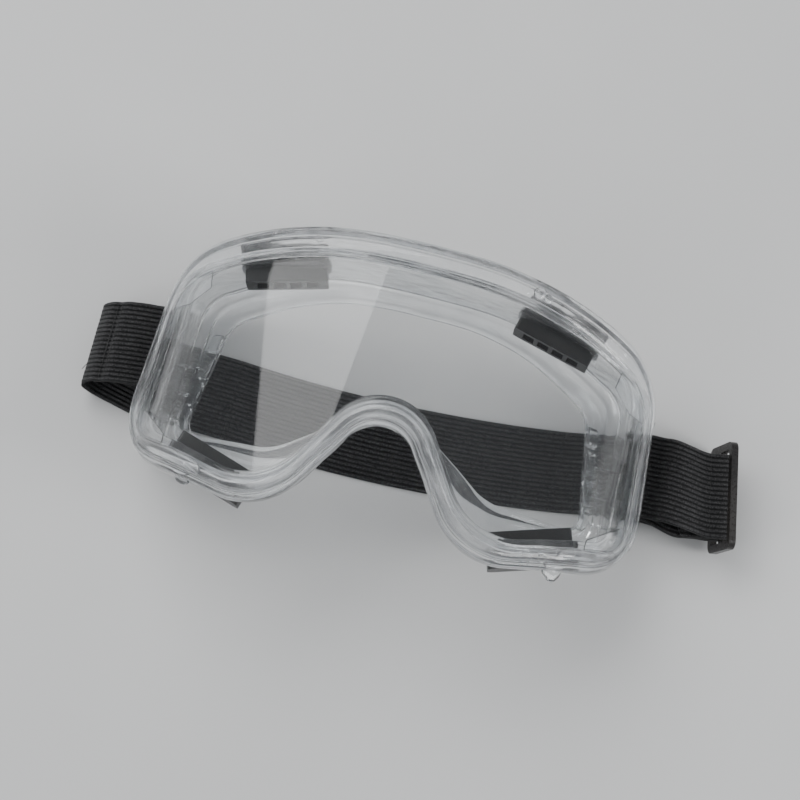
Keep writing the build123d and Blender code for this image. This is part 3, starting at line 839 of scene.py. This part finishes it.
def right_layers(mat):
    start, low_start = LUG_Z + LUG_WRAP, LUG_Z - LUG_WRAP
    z_up = BAR_Z + FOLD_WRAP
    peak, crest = 18.6, 0.55

    path = trace(LAP, start, 180, [("line", LAP), ("arc", LUG_WRAP, 180), ("line", LAP)])
    piece = make_webbing("webbing_lug_loop", framed_stations(lug_point, RIGHT_YAW, path))
    finish_piece(piece, "goggles", mat, ("strap_lug_loop",))

    def over(span):
        return s_steps(span * crest, peak - start) + s_steps(span * (1 - crest), z_up - peak)
    piece = make_webbing("webbing_top_layer", free_stations(SLOT, start, over, 0.5), 20)
    finish_piece(piece, None, mat, ("strap_top_layer",))
    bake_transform(piece)

    steps = [("line", -SLOT), ("arc", FOLD_WRAP, -180), ("line", -SLOT)]
    stations = framed_stations(bar_point, BAR_YAW, trace(SLOT, z_up, 0, steps))
    piece = make_webbing("webbing_fold", stations, 44)
    finish_piece(piece, "adjuster", mat, ("strap_fold",))

    under = free_stations(HEM_END, low_start, lambda span: s_steps(span, HEM_Z - low_start), 0.8)
    piece = make_webbing("webbing_under_layer", under, 90)
    finish_piece(piece, None, mat, ("strap_under_layer",))
    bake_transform(piece)

    low, high = BAR_Z - HEM_WRAP, BAR_Z + HEM_WRAP
    top = HEM_Z + STRAP_T + 0.05
    run = -HEM_END - 5
    steps = [("line", 2)] + s_steps(run, low - HEM_Z) + [("line", 3), ("arc", HEM_WRAP, 180), ("line", 3)]
    steps += s_steps(run, high - top) + [("line", 2)]
    path = trace(HEM_END, HEM_Z, 0, steps, 0.6)
    piece = make_webbing("webbing_hem", framed_stations(bar_point, BAR_YAW, path), 105, rounded_end=3.0)
    finish_piece(piece, "adjuster", mat, ("strap_hem",))


RUN_X = 60.0
RUN_FAR = [(-RUN_X, 12.0), (0, 10.5), (RUN_X, 15.5)]
LEFT_END = -95.0
FOLD_X = -(LUG_X + 28.0)
LEFT_TOP = [(-LUG_X + 4, 23.8), (FOLD_X, 18.0), (FOLD_X, -12.0), (-LUG_X + 4, -6.2)]
LEFT_LOW = [(LEFT_END, 13.2), (FOLD_X, 18.0), (FOLD_X, -12.0), (LEFT_END, -16.8)]
PUFF = [(14.0, 31.0), (14.0, 35.0)]
SEAM_LEAN = 17.0


def along_y(p, q, x):
    return p[1] + (q[1] - p[1]) * (x - p[0]) / (q[0] - p[0])


def run_far_y(x):
    """The run's far edge: the parabola through its three points."""
    (x0, y0), (x1, y1), (x2, y2) = RUN_FAR
    return (y0 * (x - x1) * (x - x2) / ((x0 - x1) * (x0 - x2))
            + y1 * (x - x0) * (x - x2) / ((x1 - x0) * (x1 - x2))
            + y2 * (x - x0) * (x - x1) / ((x2 - x0) * (x2 - x1)))


def flat_station(x, near, far):
    return Vector((x, near, LOW)), Vector((x, far, LOW)), UP


def strap_runs(mat):
    stations = []
    for k in range(81):
        x = -RUN_X + 2 * RUN_X * k / 80
        stations.append(flat_station(x, run_far_y(x) - STRAP_W, run_far_y(x)))
    finish_piece(make_webbing("webbing_run", stations, 200), "goggles", mat, ("strap_run",))

    stations = []
    for k in range(25):
        t = k / 24
        x = LEFT_END + (-RUN_X - LEFT_END) * t
        far = LEFT_LOW[0][1] + (RUN_FAR[0][1] - LEFT_LOW[0][1]) * t
        stations.append(flat_station(x, far - STRAP_W, far))
    piece = make_webbing("webbing_run_left", stations, 165)
    finish_piece(piece, None, mat, ("strap_run_left",))
    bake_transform(piece)

    # right: along the table, then up to the slider's lower slot
    begin = Vector((RUN_X, RUN_FAR[2][1] - HALF_W, LOW))
    base = lug_point(LAP, 0) + UP * LOW
    length = (base - begin).length
    leave, arrive = Vector((1, 0.14, 0)) * length, heading_vector(RIGHT_YAW) * length
    side = (lug_point(LAP, HALF_W) - lug_point(LAP, -HALF_W)) / 2
    stations = []
    for k in range(25):
        mid = hermite(begin, base, leave, arrive, k / 24)
        half = Vector((0, HALF_W, 0)).lerp(side, k / 24)
        stations.append((mid - half, mid + half, UP))
    rise = BAR_Z - FOLD_WRAP - LOW
    stations += free_stations(SLOT, LOW, lambda span: [("line", 2)] + s_steps(span - 2, rise), 0.8)[1:]
    piece = make_webbing("webbing_run_right", stations, 320)
    finish_piece(piece, None, mat, ("strap_run_right",))
    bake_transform(piece)


def puff_arcs():
    (r1, up), (r2, down) = PUFF
    a, b = math.radians(up), math.radians(down)
    over_s = (r1 + r2) * math.sin(a)
    over_z = LUG_Z + LUG_WRAP + r1 * (1 - math.cos(a)) - r2 * math.cos(a)
    fold_r = (over_z + r2 * math.cos(b) - LOW) / (1 + math.cos(b))
    return over_s, over_z, fold_r, over_s + (r2 - fold_r) * math.sin(b)


def left_loop(mat):
    (r1, up), (r2, down) = PUFF
    over_s, over_z, fold_r, low_s = puff_arcs()
    under_r = r2 - STRAP_T - 0.05
    lap = math.radians(down - 5)
    start = (over_s + under_r * math.sin(lap), over_z + under_r * math.cos(lap))
    steps = [("arc", under_r, down - 5)]
    steps += s_steps(over_s - 1, over_z + under_r - LUG_Z + LUG_WRAP) + [("line", 1)]
    steps += [("arc", LUG_WRAP, -180), ("arc", r1, up), ("arc", r2, -up - down), ("arc", fold_r, down - 180)]
    steps += [("line", low_s + LUG_X + LEFT_END)]
    split = fold_r + LOW
    lean = math.radians(SEAM_LEAN)
    seam = Vector((over_s + r2 * math.sin(lean), 0, over_z + r2 * math.cos(lean)))
    stations = []
    for s, z, h in trace(*start, 180 - down + 5, steps, 0.7):
        x = -LUG_X - s
        plan = LEFT_LOW if (z < split and s > over_s) or z < 2 else LEFT_TOP
        far, near = along_y(plan[0], plan[1], x), along_y(plan[3], plan[2], x)
        normal = Vector((math.sin(h), 0, math.cos(h)))
        # the stitches pull the upper layer down into a valley
        gap = (Vector((s, 0, z)) - seam).length
        z += -0.75 * math.exp(-(gap / 1.1) ** 2) + 0.35 * math.exp(-((gap - 3.2) / 1.4) ** 2)
        stations.append((Vector((x, near, z)), Vector((x, far, z)), normal))
    piece = make_webbing("webbing_left_loop", stations, 400)
    finish_piece(piece, "left_strap", mat, ("strap_left_loop",))


def stitch(centre, along, up, length, radius):
    """One stitch: a short bead that dips at both ends."""
    side = along.cross(up)
    rings = []
    for k in range(7):
        t = -1 + 2 * k / 6
        c = centre + along * (t * length / 2) - up * radius * t * t
        r = radius * math.sqrt(max(0.12, 1 - t * t * 0.85))
        rings.append([c + side * r * math.cos(b) + up * r * 0.8 * math.sin(b)
                      for b in (2 * math.pi * j / 8 for j in range(8))])
    return tube_verts(rings)


def seams(mat):
    over_s, over_z, _, _ = puff_arcs()
    parts = []
    for lean in (SEAM_LEAN - 3.0, SEAM_LEAN + 3.0):
        a = math.radians(lean)
        up = Vector((-math.sin(a), 0, math.cos(a)))
        r = PUFF[1][0] + LOW
        x, z = -LUG_X - over_s - (r - 0.35) * math.sin(a), over_z + (r - 0.35) * math.cos(a)
        far, near = along_y(LEFT_TOP[0], LEFT_TOP[1], x), along_y(LEFT_TOP[3], LEFT_TOP[2], x)
        count = 15
        for k in range(count):
            y = near + 1.5 + (far - near - 3) * (k + 0.5) / count
            lean_in = Vector((random.uniform(-0.12, 0.12), 1, 0)).normalized()
            parts.append(stitch(Vector((x, y, z)), lean_in, up, 1.7, 0.26))
    # a loose end of thread past the seam
    tail = [Vector((-106.5, -4.5, 13.9)), Vector((-109.5, -3.2, 13.5)), Vector((-112.3, -4.4, 12.2)),
            Vector((-114.2, -6.6, 10.2))]
    rings = []
    for k in range(17):
        t = k / 16 * (len(tail) - 1)
        i = min(int(t), len(tail) - 2)
        a, b = tail[max(i - 1, 0)], tail[i]
        c, d = tail[i + 1], tail[min(i + 2, len(tail) - 1)]
        p = hermite(b, c, (c - a) / 2, (d - b) / 2, t - i)
        rings.append([p + Vector((math.cos(w), math.sin(w), math.sin(w + 1))) * 0.16
                      for w in (2 * math.pi * j / 6 for j in range(6))])
    parts.append(tube_verts(rings))
    piece = new_object("stitches_left", *merge(parts))
    finish_piece(piece, "left_strap", mat, ("strap_left_seam",))

    parts = []
    z = HEM_Z + 1.5 * STRAP_T + 0.1
    for s in (0.9, 2.1):
        for k in range(14):
            y = -HALF_W + 2.2 + (STRAP_W - 4.4) * (k + 0.5) / 14
            centre = bar_point(HEM_END + s, y) + UP * z
            parts.append(stitch(centre, bar_point(0, 1) - bar_point(0, 0), UP, 1.6, 0.22))
    piece = new_object("stitches_hem", *merge(parts))
    finish_piece(piece, "adjuster", mat, ("strap_hem_seam",))


# ---------------------------------------------------------------- build

make_camera()
make_floor()
make_light()
pvc = clear_pvc("clear_pvc", 0.97, 0.82, 0.15)
crisp = clear_pvc("clear_pvc_edges", 1.0, 0.93, 0.07)
lens_mat, web_mat, thread_mat = clear_lens(), webbing(), thread()
vent_mat = black_plastic("vent_plastic", (0.005, 0.005, 0.005), (0.014, 0.013, 0.012), 0.38, 1400)
slider_mat = black_plastic("slider_plastic", (0.010, 0.009, 0.009), (0.028, 0.025, 0.023), 0.30, 900)
make_frame(pvc)
corner_tabs(crisp)
temple_beads(crisp)
mould_marks(crisp)
temple_dots(crisp)
rim_sleeve("rim_sleeve_left", 0.10, 0.62, (84.0, -32.0), (56.5, -41.0), 2.0, 3.1, -1, pvc)
rim_sleeve("rim_sleeve_right", 0.10, 0.55, (85.0, -30.0), (66.0, -38.0), 2.0, 2.8, 1, pvc)
make_lens(lens_mat)
right_layers(web_mat)
strap_runs(web_mat)
left_loop(web_mat)
seams(thread_mat)
kinds = {"vent_": vent_mat, "slider": slider_mat, "strap_lug_left": pvc, "strap_lug_right": pvc}
for name, obj in nodes.items():
    for start, mat in kinds.items():
        if name.startswith(start):
            for slot in obj.material_slots:
                slot.material = mat
            bevel(obj, 0.45 if name == "slider" else 0.3, 3)
